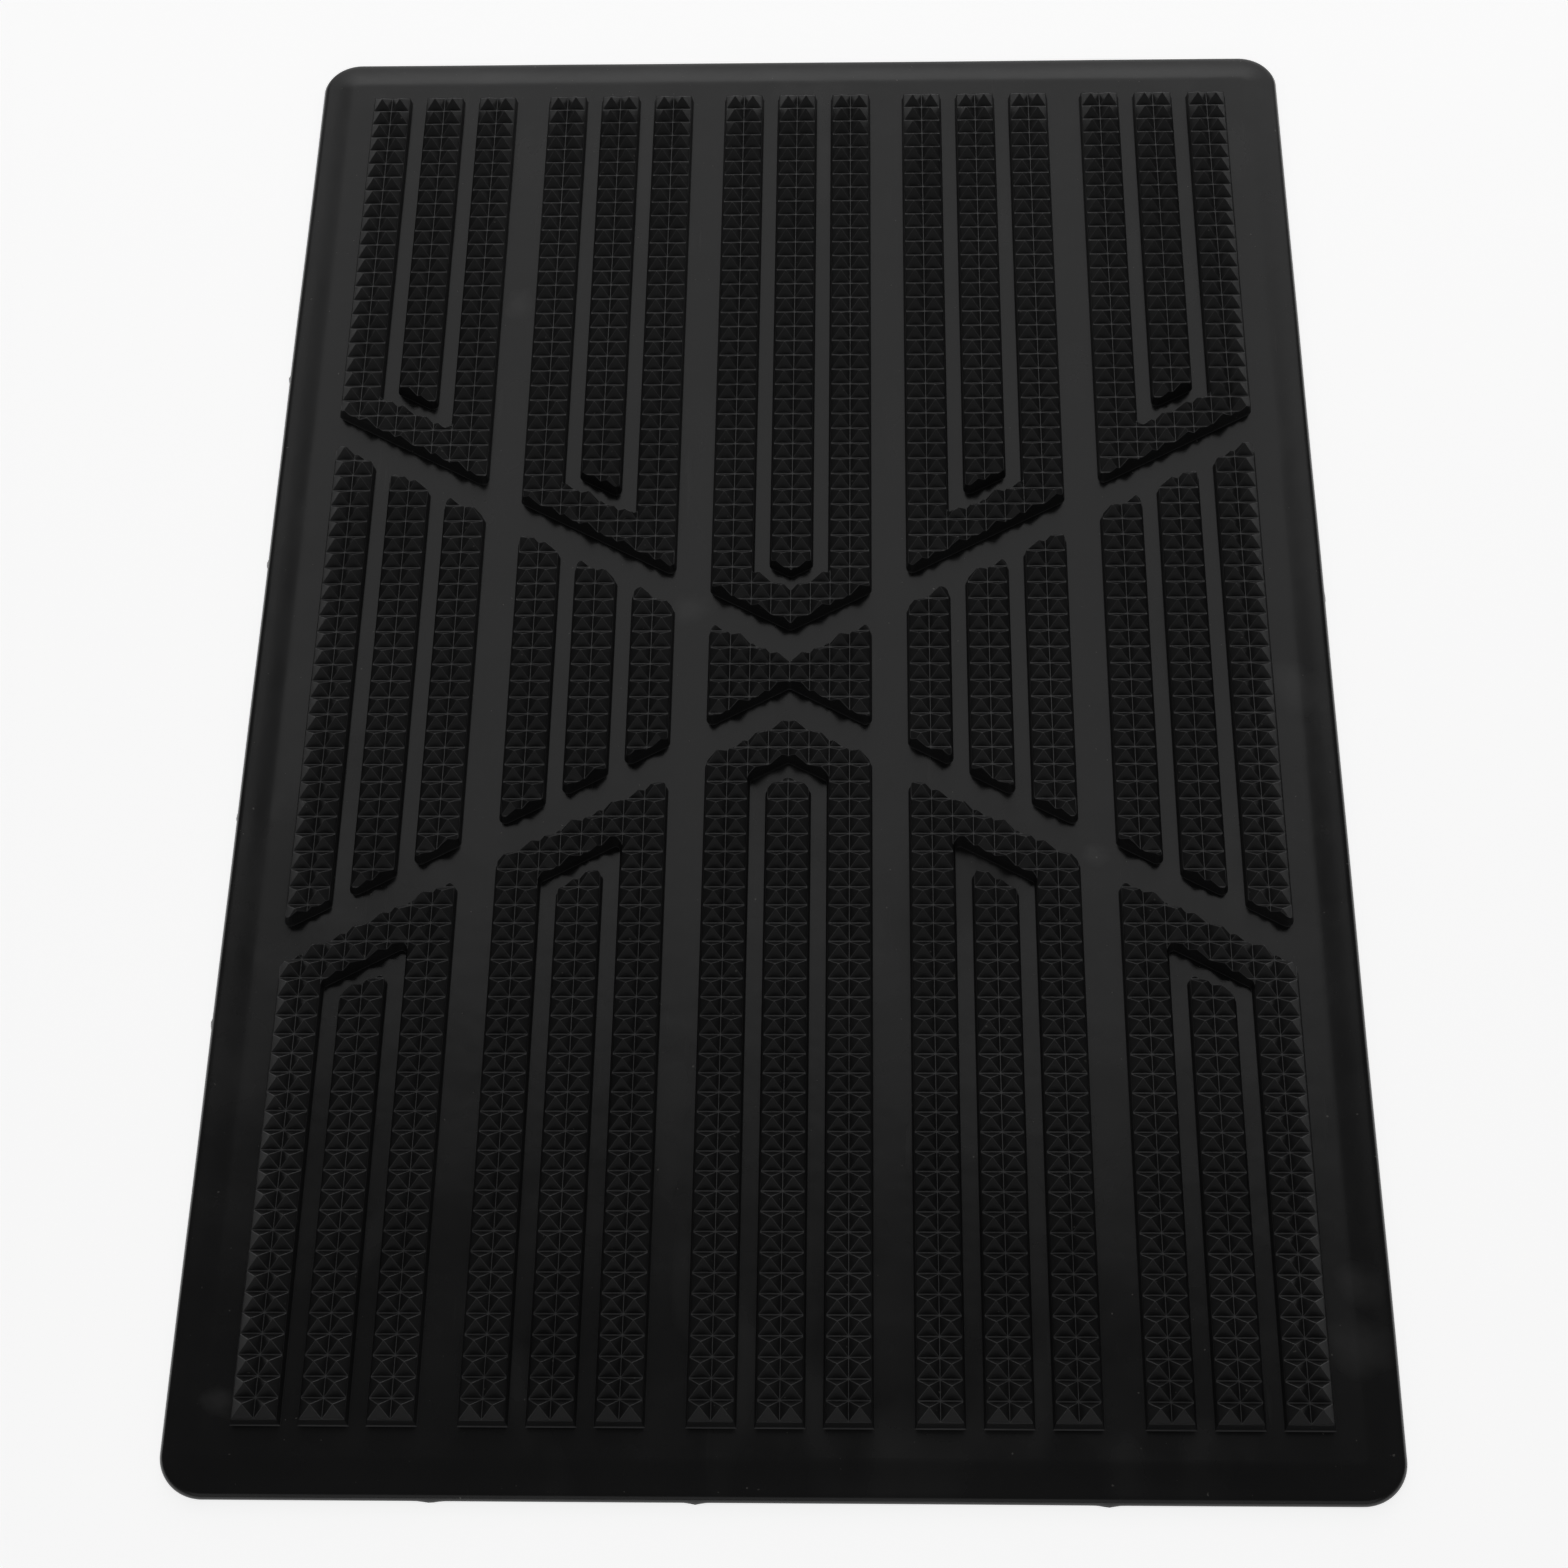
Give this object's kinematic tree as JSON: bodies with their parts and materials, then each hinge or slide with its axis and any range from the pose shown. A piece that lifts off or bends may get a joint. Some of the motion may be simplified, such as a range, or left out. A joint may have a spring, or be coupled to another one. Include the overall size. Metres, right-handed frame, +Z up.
{
  "type": "door mat",
  "caption": "Rectangular door mat of moulded black rubber with a sloping rim and chevron-ended tread bars on a flat sheet, for scraping soles at an entrance.",
  "frame": {"origin": "centre of the underside, on the floor", "axes": "+Z up off the floor, +Y along the mat's long side towards its far end, +X to the right along its short side"},
  "size_m": [0.45, 0.711, 0.0124],
  "materials": {
    "sheet_rubber": "satin",
    "rim_rubber": "satin",
    "tread_rubber": "semi-matte"
  },
  "bodies": {
    "root": {"base_sheet": "sheet_rubber", "rim_right": "rim_rubber", "rim_far": "rim_rubber", "rim_left": "rim_rubber", "rim_near": "rim_rubber", "rim_corner_far_right": "rim_rubber", "rim_corner_far_left": "rim_rubber", "rim_corner_near_left": "rim_rubber", "rim_corner_near_right": "rim_rubber", "far_u_block_1": "tread_rubber", "far_u_block_2": "tread_rubber", "far_u_block_3": "tread_rubber", "far_u_block_4": "tread_rubber", "far_u_block_5": "tread_rubber", "near_u_block_1": "tread_rubber", "near_u_block_2": "tread_rubber", "near_u_block_3": "tread_rubber", "near_u_block_4": "tread_rubber", "near_u_block_5": "tread_rubber", "far_inner_bar_1": "tread_rubber", "far_inner_bar_2": "tread_rubber", "far_inner_bar_3": "tread_rubber", "far_inner_bar_4": "tread_rubber", "far_inner_bar_5": "tread_rubber", "near_inner_bar_1": "tread_rubber", "near_inner_bar_2": "tread_rubber", "near_inner_bar_3": "tread_rubber", "near_inner_bar_4": "tread_rubber", "near_inner_bar_5": "tread_rubber", "middle_bar_1_left": "tread_rubber", "middle_bar_1_middle": "tread_rubber", "middle_bar_1_right": "tread_rubber", "middle_bar_2_left": "tread_rubber", "middle_bar_2_middle": "tread_rubber", "middle_bar_2_right": "tread_rubber", "middle_bar_4_left": "tread_rubber", "middle_bar_4_middle": "tread_rubber", "middle_bar_4_right": "tread_rubber", "middle_bar_5_left": "tread_rubber", "middle_bar_5_middle": "tread_rubber", "middle_bar_5_right": "tread_rubber", "bow_tie_block": "tread_rubber"}
  },
  "joints": []
}
